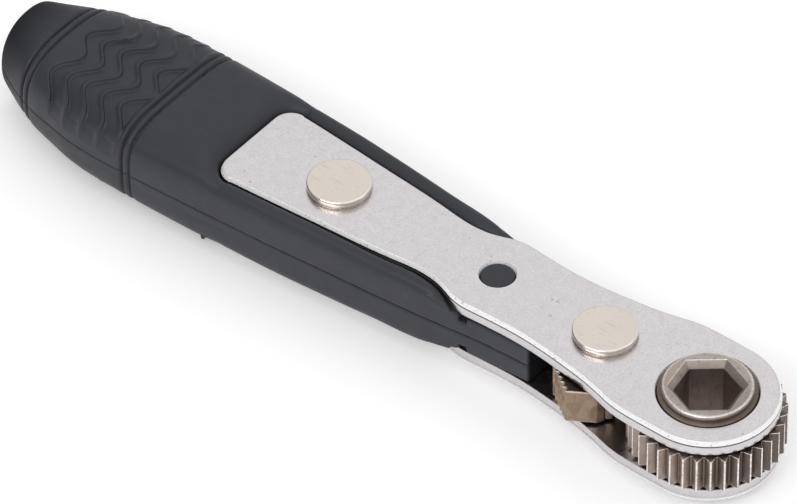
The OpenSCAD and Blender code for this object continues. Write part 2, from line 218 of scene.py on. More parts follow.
def merged(*parts):
    """One mesh from several."""
    verts, faces, edge = [], [], []
    for v, f, e in parts:
        base = len(verts)
        verts += list(v)
        faces += [tuple(base + i for i in face) for face in f]
        edge += list(e)
    return verts, faces, edge


def mirrored(part):
    """A mesh turned into its image below the plane z = 0."""
    v, f, e = part
    return [(x, y, -z) for x, y, z in v], [tuple(face[::-1]) for face in f], e


def meshed(name, part, angle=32.0):
    """An object from vertices, faces and edge values."""
    verts, faces, edge = part
    return new_object(name, verts, faces, angle, edge)


def rounded(r, z0, z1, steps):
    """Profile of a plate between two heights, both its edges rounded by r and bright. A flat border beside
    each edge keeps the faces flat."""
    turns = np.linspace(0, math.pi / 2, steps + 1)
    up = [(r - r * math.cos(t), z1 - r + r * math.sin(t), 1.0) for t in turns]
    up[0], up[-1] = (*up[0][:2], 0.0), (*up[-1][:2], 0.0)
    up.append((r + FLAT_BORDER, z1, 0.0))
    return [(inset, z0 + z1 - z, edge) for inset, z, edge in up[::-1]] + up


# ---------------------------------------------------------------- outlines
def plate_outline(grow, step=0.4):
    """The side plates' outline, anticlockwise, moved outwards by grow."""
    rear, r = PLATE_SIDE[0][0] - grow, PLATE_CORNER_R + grow
    w = PLATE_SIDE[0][1] + grow
    half = [(rear + r + r * math.cos(a), w - r + r * math.sin(a)) for a in np.radians(np.arange(180, 89, -9))]
    past_corner = 0.35
    xs = np.arange(PLATE_SIDE[0][0] + PLATE_CORNER_R + past_corner, -0.01, step)
    half += list(zip(xs, hermite_table(PLATE_SIDE, xs)[:, 0] + grow))
    end = PLATE_SIDE[-1][1] + grow
    half += [(end * math.cos(a), end * math.sin(a)) for a in np.radians(np.arange(90, 0, -3))]
    half = np.array(half)
    full = np.concatenate([half, [(end, 0.0)], (half * [1, -1])[::-1]])
    return full[::-1]


def outline_distance(loop, gx, gy):
    """Signed distance from grid points to a closed outline, negative inside."""
    px, py = gx.ravel(), gy.ravel()
    best = np.full(px.shape, 1e9)
    inside = np.zeros(px.shape, bool)
    q = np.asarray(loop, float)
    for (x0, y0), (x1, y1) in zip(q, np.roll(q, -1, axis=0)):
        dx, dy = x1 - x0, y1 - y0
        t = np.clip(((px - x0) * dx + (py - y0) * dy) / (dx * dx + dy * dy), 0, 1)
        best = np.minimum(best, (px - x0 - t * dx) ** 2 + (py - y0 - t * dy) ** 2)
        cross = (y0 > py) != (y1 > py)
        if y1 != y0:
            inside ^= cross & (px < x0 + (py - y0) * dx / dy)
    return (np.sqrt(best) * np.where(inside, -1, 1)).reshape(gx.shape)


def smooth_max(a, b, k):
    """The larger of two fields, blended over k where they are nearly equal: a rounded cut or corner."""
    h = np.clip(0.5 + 0.5 * (a - b) / k, 0, 1)
    return b + (a - b) * h + k * h * (1 - h)


# ---------------------------------------------------------------- handle
VOXEL = 0.125
HANDLE_GRID = ((-99.9, -10.2, -0.5), (-18.0, 10.2, 6.5))
# What the cross-sections lose in half width and half height, so that the handle stays inside the CAD's
SKIN_LOSS = (0.01, 0.015)
# Rounding of the tail, the tongue's shoulders, the flare, the skirts' front edge, and the notch and boss
TAIL_ROUND, TONGUE_ROUND, FLARE_ROUND, SKIRT_ROUND, SMALL_ROUND = 0.8, 0.35, 0.3, 0.5, 0.2

# Waves of the grip: place, distance to the next, swing along the handle and wavelength across it
WAVE_FIRST, WAVE_PITCH, WAVE_SWING, WAVE_SPAN, WAVE_PHASE = -86.5, 2.6, 1.05, 6.25, 2.35
# Shares of that distance where the drop ends and the rise begins, and the slope of the floor between them
WAVE_DROP, WAVE_RISE, WAVE_SLOPE = 0.12, 0.7, 0.55
WAVE_SIDES, WAVE_ENDS = (-8.6, 8.0), (-88.7, -74.7)
# Where the waves fade out: down the side of each half, and across to the far side
UPPER_FADE, LOWER_FADE, FADE_HEIGHT = 1.4, 3.6, 1.6
FAR_SIDE_Y, FAR_SIDE_WIDTH, FAR_SIDE_LOSS = 3, 5, 0.75
# Both depths are more than the CAD's, so that they look as strong as the photo's under this light
WAVE_DEPTH, GROOVE_DEPTH, GROOVE_WIDTH = 0.42, 0.46, 0.2
BAND_GROOVES = (-90.35, -89.3, -74.15, -73.1)

# Recess: gap round the plate, and its lip's rounding: sharp below LIP_Z, then wider by up to LIP_ROLL
RECESS_GAP = 0.15
LIP_SHARP, LIP_ROLL, LIP_Z, LIP_HEIGHT = 0.25, 2.35, 2.8, 0.8
# Skirts: half width and slope of the flare beside the plate, and the sloping front edge
FLARE_X, FLARE_Y, FLARE_SLOPE = -31.9, 5.4, 0.5
SKIRT_X, SKIRT_Z, SKIRT_LEAN = -29.2, 2.2, 0.33
NOTCH_REAR_X, NOTCH_FRONT_X, NOTCH_Z, NOTCH_Y = -29.25, -28.2, 1.75, 5.2
BOSS_TOP_Z = 4.3
# Places where the parting edge opens and where it starts to widen further
PARTING_X, PARTING_WIDENS_X = -73.5, -60
# Flash on the lower half: place, and half its size each way
FLASH_PLACE, FLASH_SIZE = (-63.3, 8.55, 4.1), (0.3, 0.3, 0.45)
FAR_AWAY = 9.0


def ramp_up(v, start, length):
    """0 up to start, 1 from start + length on."""
    return np.clip((v - start) / length, 0, 1)


def wave_cut(x, y, z, fade_z):
    """Depth of the grip's wavy steps. Each rises to a rounded crest and drops sharply in front."""
    crest = WAVE_FIRST + WAVE_SWING * np.cos(2 * math.pi * (np.clip(y, *WAVE_SIDES) + WAVE_PHASE) / WAVE_SPAN)
    s = (x - crest) / WAVE_PITCH
    u = s - np.floor(s)
    drop = (1 - np.cos(math.pi * u / WAVE_DROP)) / 2
    floor = 1 - WAVE_SLOPE * (u - WAVE_DROP)
    left = 1 - WAVE_SLOPE * (WAVE_RISE - WAVE_DROP)
    rise = left * (0.5 + 0.5 * np.cos(math.pi * (u - WAVE_RISE) / (1 - WAVE_RISE)))
    step = np.where(u < WAVE_DROP, drop, np.where(u < WAVE_RISE, floor, rise)) * (s > 0)
    rear_fade, front_fade = 0.5, 0.4
    inside = ramp_up(x, WAVE_ENDS[0], rear_fade) * ramp_up(-x, -WAVE_ENDS[1], front_fade)
    far_side = 1 - FAR_SIDE_LOSS * ramp_up(y, FAR_SIDE_Y, FAR_SIDE_WIDTH)
    return WAVE_DEPTH * far_side * step * inside * ramp_up(z, fade_z, FADE_HEIGHT)


def handle_skin(xs, ys, zs):
    """Distance-like field of the plain handle, made from its cross-sections."""
    x, y, z = np.meshgrid(xs, ys, zs, indexing="ij", sparse=True)
    table = hermite_table(HANDLE_SECTIONS, xs)
    width, height, power = (table[:, k][:, None, None] for k in range(3))
    width, height = width - SKIN_LOSS[0], height - SKIN_LOSS[1]
    f = ((np.abs(y) / width) ** power + (np.abs(z) / height) ** power) ** (1 / power) - 1
    grad = np.gradient(f, xs, ys, zs)
    steepness = np.sqrt(grad[0] ** 2 + grad[1] ** 2 + grad[2] ** 2)
    d = f / np.maximum(steepness, 0.05)
    return smooth_max(d, HANDLE_SECTIONS[0][0] - x + 0 * d, TAIL_ROUND)


def cut_grip(d, x, y, z, fade_z):
    """Wavy steps between two pairs of grooves."""
    d = d + wave_cut(x, y, z, fade_z)
    for g in BAND_GROOVES:
        d = d + GROOVE_DEPTH * np.exp(-((x - g) / GROOVE_WIDTH) ** 2)
    return d


def cut_recess(d, x, y, z):
    """Recess for the plate: its lip rolls down to the plate's edge."""
    gx, gy = np.meshgrid(x.ravel(), y.ravel(), indexing="ij")
    plate = outline_distance(plate_outline(RECESS_GAP), gx, gy)[:, :, None]
    pocket = np.maximum(plate, PLATE_GAP_Z - z)
    return smooth_max(d, -pocket, LIP_SHARP + LIP_ROLL * ramp_up(z, LIP_Z, LIP_HEIGHT))


def cut_skirts(d, x, side, z):
    """The skirts flare away from the plate and end in a sloping front edge. A notch parts each from the
    tongue, which goes on between the plates."""
    flare = np.maximum(side - FLARE_Y - FLARE_SLOPE * (x - FLARE_X), PLATE_GAP_Z - z)
    d = smooth_max(d, -flare, FLARE_ROUND)
    upright = 0.95
    ahead = np.maximum((SKIRT_X - SKIRT_LEAN * (z - SKIRT_Z) - x) * upright, PLATE_GAP_Z - z)
    d = smooth_max(d, -ahead, SKIRT_ROUND)
    across = np.maximum(NOTCH_REAR_X - x, x - NOTCH_FRONT_X)
    return smooth_max(d, -np.maximum(across, np.maximum(NOTCH_Z - z, NOTCH_Y - side)), SMALL_ROUND)


def shape_tongue(d, x, y, z):
    """The tongue's nose with a shoulder on each side, and the boss, a little below the plate's face."""
    d = np.maximum(d, x - TONGUE_NOSE_X)
    shoulders = np.maximum(TONGUE_SHOULDER_X - x, NOSE_HALF_WIDTH - np.abs(y))
    d = smooth_max(d, -shoulders + 0 * d, TONGUE_ROUND)
    boss = smooth_max(np.hypot(x - BOSS_X, y) - BOSS_R + 0 * z, z - BOSS_TOP_Z + 0 * x, SMALL_ROUND)
    return np.minimum(d, boss)


def add_flash(d, x, y, z):
    """A speck of flash on the near edge."""
    across = [((v - at) / half) ** 2 for v, at, half in zip((x, np.abs(y), z), FLASH_PLACE, FLASH_SIZE)]
    flash = np.sqrt(across[0] + across[1] + across[2]) - 1
    return np.minimum(d, np.where(y < 0, 0.25 * flash, FAR_AWAY))


def cut_parting(d, x, z):
    """The parting edge: tight in the grip, open and a little uneven ahead of it. opened is its share of the
    full width, in two stretches."""
    tight_gap, more_gap, tight_round, more_round = 0.004, 0.026, 0.06, 0.24
    opened = ramp_up(x, PARTING_X, 1.5) * (0.45 + 0.55 * ramp_up(x, PARTING_WIDENS_X, 20))
    ragged = 0.015 * np.sin(1.9 * x) + 0.012 * np.sin(4.7 * x + 1)
    gap = tight_gap + (more_gap + ragged) * opened
    return smooth_max(d, gap - z + 0 * d, tight_round + more_round * opened)


def handle_field(xs, ys, zs, fade_z):
    """Distance-like field of the upper handle half on a grid, negative inside."""
    x, y, z = np.meshgrid(xs, ys, zs, indexing="ij", sparse=True)
    d = handle_skin(xs, ys, zs)
    d = cut_grip(d, x, y, z, fade_z)
    d = cut_recess(d, x, y, z)
    d = cut_skirts(d, x, np.abs(y), z)
    d = shape_tongue(d, x, y, z)
    if fade_z == LOWER_FADE:
        d = add_flash(d, x, y, z)
    d = cut_parting(d, x, z)
    bore = np.maximum(np.hypot(y, z) - BORE_R, BORE_END_X - x)
    return np.maximum(d, -bore)


def grid_mesh(low, high, voxel, field):
    """Meshes a field's zero surface. Coordinates in millimetres. Returns points and faces."""
    axes = [np.arange(l, h, voxel) for l, h in zip(low, high)]
    values = np.clip(field(*axes), -3 * voxel, 3 * voxel).astype(np.float32)
    grid = openvdb.FloatGrid(3 * voxel)
    grid.copyFromArray(values)
    points, tris, quads = grid.convertToPolygons(isovalue=0.0, adaptivity=0.0)
    points = np.asarray(points, float) * voxel + [ax[0] for ax in axes]
    return points, [tuple(int(i) for i in face[::-1]) for face in [*quads, *tris]]


def make_handle(name, flip):
    """One half of the handle; flip makes the lower one."""
    fade_z = LOWER_FADE if flip else UPPER_FADE
    points, faces = grid_mesh(*HANDLE_GRID, VOXEL, lambda *axes: handle_field(*axes, fade_z))
    if flip:
        points, faces = points * [1, 1, -1], [face[::-1] for face in faces]
    return new_object(name, points, faces, 50)


# ---------------------------------------------------------------- metal parts
def make_plate(name, flip):
    """A stamped plate: its outer edge burnished to a slope, then a torn line, then the plain wall."""
    low, high = mm_box("top_side_plate")
    z0, z1 = low[2], high[2]
    rivet_hole_r = 2.05
    holes = [circle(PLATE_HOLE_R, 120), circle(rivet_hole_r, 48, PIVOT_X), circle(rivet_hole_r, 48, REAR_X),
        circle(BOSS_HOLE_R, 48, BOSS_X)]
    # inner darkens the inner faces: painted shade between the plates
    inner, side = -0.35, -0.22
    torn = -0.25 if flip else -1
    wall = [(0.2, z0, inner), (0.12, z0, inner), (0.03, z0 + 0.05, side), (0, z0 + 0.14, side)]
    tear = [(0, z1 - 0.74, side), (0.06, z1 - 0.7, torn), (0.06, z1 - 0.56, torn), (0, z1 - 0.51, 0.3)]
    # The burnished slope carries the painted highlight
    slope = [(0.01, z1 - 0.48, 1), (0.05, z1 - 0.42, 1), (0.39, z1 - 0.08, 1), (0.47, z1 - 0.03, 0.9)]
    # A faint painted shade on the face just inside the edge
    face = [(0.55, z1, 0), (0.62, z1, -0.08), (0.78, z1, -0.04), (0.9, z1, 0)]
    part = prism(plate_outline(0), holes, wall + tear + slope + face, hole_share=0.4)
    return meshed(name, mirrored(part) if flip else part, 40)


def tooth_outline():
    """Gear outline with narrow crests and V-shaped spaces, a bright edge value on each crest, and a dark one
    in each root for a painted shade.
    """
    tip = mm_box("ratchet_gear")[1][0]
    pitch = 360 / GEAR_TEETH
    root_at = pitch / 2 - ROOT_ANGLE
    slope = TOOTH_DEPTH / (root_at - CREST_ANGLE)
    worn, foot = 0.25, 0.6
    rising = [(-root_at, -TOOTH_DEPTH, -0.6), (-root_at + foot, -TOOTH_DEPTH + foot * slope, 0),
        (-CREST_ANGLE - worn, -worn * slope, 0), (-CREST_ANGLE, -0.03, 1)]
    tooth = rising + [(0, 0, 1)] + [(-angle, height, bright) for angle, height, bright in rising[::-1]]
    points, edge = [], []
    for i in range(GEAR_TEETH):
        for angle, height, bright in tooth:
            t = math.radians(i * pitch + angle)
            points.append(((tip + height) * math.cos(t), (tip + height) * math.sin(t)))
            edge.append(bright)
    return np.array(points), edge


def hexagon(af, n, corner):
    """n points of a hexagon, one at every 360 / n degrees from one of its corners."""
    a = np.arange(n) * 360 / n
    r = af / 2 / np.cos(np.radians(a % 60 - 30))
    t = np.radians(a + corner)
    return np.stack([r * np.cos(t), r * np.sin(t)], 1)


def make_gear():
    """The toothed rim, and a core with a journal, a flanged collar and a chamfered hexagon at each end."""
    top = mm_box("ratchet_gear")[1][2]
    plate_top = mm_box("top_side_plate")[1][2]
    n, rim_bore_r, rim_z, shoulder_r = 120, 5.2, 2.25, 6.45
    mouth_z = top - HEX_MOUTH_DEPTH
    outline, crest = tooth_outline()
    rim = prism(outline, [circle(rim_bore_r, 90)], rounded(0.09, -rim_z, rim_z, 3), crest)

    def ring(r, z, bright=0):
        return circle(r, n, start=HEX_TURN), z, bright

    def hexa(af, z, bright=0):
        return hexagon(af, n, HEX_TURN), z, bright

    # The journal, flange and collar side are darkened: painted shade in the plate's hole and under the
    # collar's rim
    journal = [ring(shoulder_r, 0), ring(shoulder_r, 2.52), ring(5.5, 2.55), ring(5.5, plate_top - 0.2, -1),
        ring(5.48, plate_top - 0.06, -0.8), ring(5.42, plate_top + 0.02, -0.4)]
    flange = [ring(5.3, plate_top + 0.07, -0.6), ring(5.06, plate_top + 0.13, -0.7),
        ring(4.96, plate_top + 0.17, -0.9), ring(4.93, plate_top + 0.27, -0.7),
        ring(5.0, plate_top + 0.36, -0.4)]
    collar = [ring(5.05, top - 0.38, -0.3), ring(5.05, top - 0.3, -0.35), ring(5.03, top - 0.2, -0.3),
        ring(4.96, top - 0.1, 0.1), ring(4.89, top - 0.04, 1), ring(4.82, top, 0.7), ring(4.6, top)]
    socket = [hexa(HEX_MOUTH_AF + 0.14, top), hexa(HEX_MOUTH_AF + 0.05, top - 0.02, 1),
        hexa(HEX_MOUTH_AF - 0.04, top - 0.08), hexa(HEX_AF + 0.07, mouth_z + 0.05),
        hexa(HEX_AF + 0.02, mouth_z - 0.01, 1), hexa(HEX_AF, mouth_z - 0.08), hexa(HEX_AF, 0)]
    loops = journal + flange + collar + socket
    verts = [(x, y, z) for loop, z, _ in loops for x, y in loop]
    edge = [bright for _, _, bright in loops for _ in range(n)]
    faces = []
    for k in range(len(loops) - 1):
        a, b = k * n, (k + 1) * n
        faces += [(a + i, a + (i + 1) % n, b + (i + 1) % n, b + i) for i in range(n)]
    core = (verts, faces, edge)
    return meshed("ratchet_gear_finished", merged(rim, core, mirrored(core)), 30)


def pawl_blank():
    """Outline of the pawl about its pivot, in its middle position, before the gear's space is taken off."""
    half = [(NOSE_R * math.cos(a), NOSE_R * math.sin(a)) for a in np.radians(range(180, 143, -6))]
    half += [(-2.3, 3.2), (-1.9, 4.4), (-1.7, 5.95)]
    first, last, serrations = np.array((-1.7, 5.95)), np.array((2.15, 7.5)), 5
    step = (last - first) / (4 * serrations)
    out = np.array((-step[1], step[0])) / np.linalg.norm(step)
    for i in range(1, 4 * serrations + 1):
        cut = SERRATION_DEPTH if i % 4 in (2, 3) else 0
        half.append(tuple(first + i * step - cut * out))
    half += [(2.4, 7.45), (4.74, 5.11), (5.08, 4.1), (6.1, 3.75), (6.1, 1.5), (4.7, 0)]
    return np.array(half + [(x, -y) for x, y in half[-2:0:-1]])


def gear_distance(x, y, grow):
    """Signed distance to the gear's outline, near enough, from its radius at each angle."""
    tip = mm_box("ratchet_gear")[1][0] + grow
    half_pitch = 180 / GEAR_TEETH
    off = np.abs((np.degrees(np.arctan2(y, x)) + half_pitch) % (2 * half_pitch) - half_pitch)
    fall = np.clip((off - CREST_ANGLE) / (half_pitch - ROOT_ANGLE - CREST_ANGLE), 0, 1)
    on_flank = (fall > 0) & (fall < 1)
    return (np.hypot(x, y) - tip + TOOTH_DEPTH * fall) * np.where(on_flank, 0.6, 1.0)


def turned(x, y, angle):
    """Coordinates turned by an angle in radians."""
    return math.cos(angle) * x - math.sin(angle) * y, math.sin(angle) * x + math.cos(angle) * y


def pawl_plan(xs, ys):
    """Distance-like field of the pawl's plan at rest: its blank less the gear's space through its swing."""
    gear_r, passing, pivot_hole_r = mm_box("ratchet_gear")[1][0], 0.06, 2.06
    gx, gy = np.meshgrid(xs - PIVOT_X, ys, indexing="ij")
    px, py = turned(gx, gy, math.radians(PAWL_SWING))
    plan = outline_distance(pawl_blank(), px, py)
    for turn in np.radians(np.arange(-PAWL_SWING, PAWL_SWING + 1)):
        qx, qy = turned(px, py, turn)
        plan = np.maximum(plan, -gear_distance(qx + PIVOT_X, qy, MESH_CLEARANCE))
    for turn in np.radians([-PAWL_SWING / 2, 0, PAWL_SWING / 2]):
        qx, qy = turned(px, py, turn)
        plan = np.maximum(plan, gear_r + passing - np.hypot(qx + PIVOT_X, qy))
    return np.maximum(plan, pivot_hole_r - np.hypot(gx, gy))


def make_pawl():
    """The pawl at rest, turned by its swing into mesh with the gear, with small worn edges."""
    low, high = mm_box("reversing_pawl")
    voxel = 0.075
    thick, margin, edge_round, worn_width = high[2], 0.5, 0.14, 0.11
    xs, ys = (np.arange(low[k] - margin, high[k] + margin, voxel) for k in (0, 1))
    plan = pawl_plan(xs, ys)

    def field(fx, fy, fz):
        flat = np.abs(fz)[None, None, :] - thick
        body = smooth_max(plan[:, :, None] + 0 * flat, flat + 0 * plan[:, :, None], edge_round)
        for turn in np.radians([180 - 2 * PAWL_SWING, 180]):
            seat_x, seat_y = PIVOT_X + BALL_TO_PIVOT * math.cos(turn), BALL_TO_PIVOT * math.sin(turn)
            dx, dy, dz = fx[:, None, None] - seat_x, fy[None, :, None] - seat_y, fz[None, None, :]
            body = np.maximum(body, BALL_R - np.sqrt(dx ** 2 + dy ** 2 + dz ** 2))
        return body

    low_corner = (xs[0], ys[0], -thick - 0.4)
    high_corner = (xs[-1] + voxel / 2, ys[-1] + voxel / 2, thick + 0.4)
    points, faces = grid_mesh(low_corner, high_corner, voxel, field)
    i, j = (np.clip(np.round((points[:, k] - axis[0]) / voxel).astype(int), 0, len(axis) - 1)
        for k, axis in enumerate((xs, ys)))
    above = np.abs(points[:, 2]) - thick
    off = np.maximum(np.abs(plan[i, j]), np.abs(above))
    worn = np.exp(-(off / worn_width) ** 2)
    # The flat faces are marked dark for a painted shade under the plates
    face = ramp_up(above, -0.04, 0.03)
    return new_object("reversing_pawl_finished", points, faces, 50, worn - 0.85 * face * (1 - worn))


def rivet_profile():
    """Half section of a rivet head, from the plate's face to the middle of its own."""
    low, high = mm_box("pivot_rivet_pin")
    base = mm_box("top_side_plate")[1][2]
    top, r = high[2], (high[0] - low[0]) / 2
    # The head's foot is darkened as painted shade where it meets the plate, and its side a little
    foot = [(0, base + 0.01), (r - 0.16, base + 0.01), (r - 0.12, base + 0.05, -0.6),
        (r - 0.1, base + 0.22, -0.6)]
    wall = [(r - 0.01, base + 0.28, -0.4), (r, base + 0.34, -0.4), (r, top - 0.17, -0.4)]
    edge = [(r - 0.012, top - 0.12, 1), (r - 0.05, top - 0.06, 1), (r - 0.11, top - 0.02, 1)]
    face = [(r - 0.18, top), (r - 0.32, top), (r * 0.5, top - 0.008), (0, top - 0.012)]
    return foot + wall + edge + face


def make_rivets():
    """Both rivets, as pairs of a piece and its CAD node: a headed pin in a headed tube."""
    pin_r, pin_end, pin_root = 1.2, -3.6, 4.46
    bore_r, tube_r, tube_root, tube_end = 1.22, 2.0, -4.4, 4.35
    pin = [(0, pin_end), (pin_r, pin_end), (pin_r, pin_root), (0, pin_root)]
    tube = [(bore_r, tube_root), (tube_r, tube_root), (tube_r, tube_end), (bore_r, tube_end)]
    tube.append(tube[0])
    out = []
    for which, x in (("pivot", PIVOT_X), ("rear", REAR_X)):
        head = revolve(rivet_profile(), 96, x)
        upper, lower = merged(head, revolve(pin, 48, x)), merged(mirrored(head), revolve(tube, 48, x))
        out.append((meshed(which + "_rivet_upper_half", upper, 35), which + "_rivet_pin"))
        out.append((meshed(which + "_rivet_lower_half", lower, 35), which + "_rivet_tube"))
    return out


# ---------------------------------------------------------------- materials
class Nodes:
    """Short way to build a node tree."""

    def __init__(self, tree):
        self.t = tree

    def feed(self, socket, value):
        """Links a socket, or sets it to a number or a colour."""
        if isinstance(value, bpy.types.NodeSocket):
            self.t.links.new(value, socket)
        elif isinstance(value, tuple) and len(socket.default_value) == 4:
            socket.default_value = (*value, 1)
        else:
            socket.default_value = value

    def node(self, kind, inputs=None, **attrs):
        n = self.t.nodes.new("ShaderNode" + kind)
        for k, v in attrs.items():
            setattr(n, k, v)
        for k, v in (inputs or {}).items():
            self.feed(n.inputs[k], v)
        return n

    def noise(self, vector, scale, detail=3.0, rough=0.55, distortion=0.0):
        return self.node("TexNoise", {"Vector": vector, "Scale": scale, "Detail": detail, "Roughness": rough,
            "Distortion": distortion}).outputs["Fac"]

    def ramp(self, value, stops):
        """Grey levels at places along a value."""
        n = self.node("ValToRGB", {"Fac": value})
        elements = n.color_ramp.elements
        while len(elements) < len(stops):
            elements.new(0.5)
        for element, (position, level) in zip(elements, stops):
            element.position, element.color = position, (level, level, level, 1)
        return n.outputs["Color"]

    def fade(self, value, start, end, low, high):
        """low where the value is at start, high where it is at end, and in proportion between them."""
        return self.node("MapRange", {"Value": value, "From Min": start, "From Max": end, "To Min": low,
            "To Max": high}).outputs[0]

    def mix(self, fac, a, b, blend="MIX"):
        n = self.node("Mix", data_type="RGBA", blend_type=blend)
        for socket, value in ((n.inputs[0], fac), (n.inputs[6], a), (n.inputs[7], b)):
            self.feed(socket, value)
        return n.outputs[2]

    def math(self, op, a, b=0.0, clamp=False):
        return self.node("Math", {0: a, 1: b}, operation=op, use_clamp=clamp).outputs[0]

    def bump(self, height, strength, distance, normal=None):
        """Relief from a height, on top of an earlier relief if one is given."""
        inputs = {"Height": height, "Strength": strength, "Distance": distance}
        if normal is not None:
            inputs["Normal"] = normal
        return self.node("Bump", inputs).outputs[0]


class Surface(Nodes):
    """A material with one principled shader."""

    def __init__(self, name):
        self.m = bpy.data.materials.new(name)
        self.m.use_nodes = True
        super().__init__(self.m.node_tree)
        self.t.nodes.clear()
        self.bsdf = self.node("BsdfPrincipled")
        self.t.links.new(self.bsdf.outputs[0], self.node("OutputMaterial").inputs[0])
        self.coord = self.node("TexCoord").outputs["Object"]

    def mapping(self, scale, rotation=(0, 0, 0)):
        return self.node("Mapping", {"Vector": self.coord, "Scale": scale, "Rotation": rotation}).outputs[0]

    def edge(self):
        """The mesh's edge value as two masks: bright worn edges with the plates' painted highlight, and dark
        lines with painted shade.
        """
        value = self.node("Attribute", attribute_type="GEOMETRY", attribute_name="edge").outputs["Fac"]
        return self.math("MAXIMUM", value), self.math("MAXIMUM", self.math("MULTIPLY", value, -1.0))

    def set(self, **values):
        names = {"color": "Base Color", "rough": "Roughness", "metallic": "Metallic", "normal": "Normal",
            "specular": "Specular IOR Level"}
        for k, v in values.items():
            self.feed(self.bsdf.inputs[names[k]], v)


def plate_material():
    """Plated steel: satin face with fine pits and scratches, nicked edges with a painted highlight, and inner
    faces darkened by painted shade between the plates.
    """
    n = Surface("satin_plate")
    bright, dark = n.edge()
    cloud = n.noise(n.coord, 110.0, 4, 0.6)
    fine = n.math("MULTIPLY", n.noise(n.coord, 3400.0, 2), 0.65)
    fine = n.math("ADD", fine, n.math("MULTIPLY", n.noise(n.coord, 900.0, 3), 0.35))
    base = n.mix(n.ramp(fine, [(0.35, 0.0), (0.65, 1.0)]), (0.74, 0.705, 0.715), (0.86, 0.835, 0.84))
    base = n.mix(n.math("MULTIPLY", cloud, 0.3), base, (0.76, 0.73, 0.78))
    patches = n.ramp(n.noise(n.coord, 260.0, 3), [(0.5, 0.0), (0.68, 1.0)])
    pits = n.ramp(n.noise(n.coord, 2300.0, 2, 0.6), [(0.64, 0.0), (0.71, 1.0)])
    specks = n.ramp(n.noise(n.coord, 5200.0, 2), [(0.62, 0.0), (0.75, 1.0)])
    marks = n.math("MULTIPLY", n.math("MULTIPLY", pits, patches), 0.5)
    marks = n.math("ADD", marks, n.math("MULTIPLY", specks, 0.16), clamp=True)
    nicks = n.ramp(n.noise(n.coord, 3400.0, 3, 0.7), [(0.6, 0.0), (0.7, 1.0)])
    base = n.mix(marks, base, (0.2, 0.17, 0.155))
    # Painted highlight: the edge's slope turns near white, with darker nicks in it
    base = n.mix(bright, base, n.mix(nicks, (0.96, 0.955, 0.95), (0.36, 0.33, 0.31)))
    # Dark lines: the torn line, and painted shade on the inner faces and on the face beside the edge
    base = n.mix(dark, base, (0.12, 0.11, 0.115))
    rough = n.ramp(n.noise(n.coord, 300.0, 4), [(0.3, 0.22), (0.7, 0.34)])
    ripple = n.bump(n.noise(n.coord, 520.0, 3), 0.2, 0.0001)
    chips = n.bump(n.math("MULTIPLY", nicks, bright), 0.5, -0.00004, ripple)
    n.set(color=base, rough=n.mix(bright, rough, (0.2, 0.2, 0.2)), normal=n.bump(marks, 0.5, -0.00003, chips))
    # The edge's painted highlight is shaded as pale paint: as metal it would mirror the dark side of the
    # studio
    n.set(metallic=n.math("SUBTRACT", 1.0, bright))
    return n.m


def rivet_material():
    """Nickel rivets: matt cream faces with fine grain, polished sides."""
    n = Surface("rivet_nickel")
    bright, dark = n.edge()
    fine = n.noise(n.coord, 2600.0, 3)
    base = n.mix(n.noise(n.coord, 160.0, 3), (0.80, 0.72, 0.645), (0.88, 0.81, 0.74))
    base = n.mix(n.ramp(fine, [(0.6, 0.0), (0.75, 0.3)]), base, (0.5, 0.44, 0.38))
    scratch = n.ramp(n.noise(n.mapping((0.25, 1.6, 1.0), (0, 0, 0.5)), 2400.0, 3), [(0.6, 0.0), (0.7, 0.25)])
    base = n.mix(scratch, base, (0.42, 0.37, 0.33))
    # The dark marks are painted shade at the head's foot and a darker side
    n.set(color=n.mix(dark, n.mix(bright, base, (0.95, 0.91, 0.87)), (0.2, 0.16, 0.14)), metallic=1.0)
    rough = n.ramp(n.noise(n.coord, 500.0, 3), [(0.3, 0.26), (0.7, 0.36)])
    n.set(rough=n.mix(n.math("MAXIMUM", bright, dark), rough, (0.1, 0.1, 0.1)))
    n.set(normal=n.bump(fine, 0.14, 0.00002))
    return n.m


def mechanism_steel(name, low, high, tint, worn, shade, shade_colour):
    """Blackened tool steel, mottled, with its edges worn bright. Painted shade darkens its corners,
    undercuts, tooth roots and faces under the plates; shade is how much painted shade darkens the whole part
    between the plates."""
    n = Surface(name)
    bright, dark = n.edge()
    base = n.mix(n.noise(n.coord, 260.0, 4, 0.6), low, high)
    stains = n.ramp(n.noise(n.coord, 420.0, 3, 0.5, 0.6), [(0.45, 0.0), (0.62, 0.75)])
    base = n.mix(stains, base, tint)
    grain = n.noise(n.mapping((1.0, 1.0, 0.3)), 2400.0, 3)
    base = n.mix(n.ramp(grain, [(0.55, 0.0), (0.75, 0.55)]), base, (0.15, 0.115, 0.1))
    place = n.node("SeparateXYZ", {0: n.coord}).outputs
    # Painted shade between the plates: the part there is darkened towards dark brown
    inside = n.fade(n.math("ABSOLUTE", place["Z"]), 0.0044, 0.0047, 1.0, 0.0)
    base = n.mix(n.math("MULTIPLY", inside, shade), base, (0.17, 0.115, 0.085))
    # The gear's +X side is darkened to match the photo's light, and this turns with the gear
    base = n.mix(n.fade(place["X"], 0.003, 0.008, 0.0, 0.8), base, (0.1, 0.08, 0.07))
    ragged = n.ramp(n.noise(n.coord, 3000.0, 2), [(0.3, 0.35), (0.55, 1.0)])
    base = n.mix(n.math("MULTIPLY", bright, ragged), base, worn)
    # Painted shade: the marked corners, undercuts, roots and faces take the last colour given
    n.set(color=n.mix(dark, base, shade_colour), metallic=1.0)
    rough = n.ramp(n.noise(n.coord, 700.0, 3), [(0.3, 0.38), (0.7, 0.56)])
    n.set(rough=n.mix(bright, rough, (0.3, 0.3, 0.3)))
    n.set(normal=n.bump(grain, 0.3, 0.00004, n.bump(n.noise(n.coord, 600.0, 2), 0.12, 0.0002)))
    return n.m


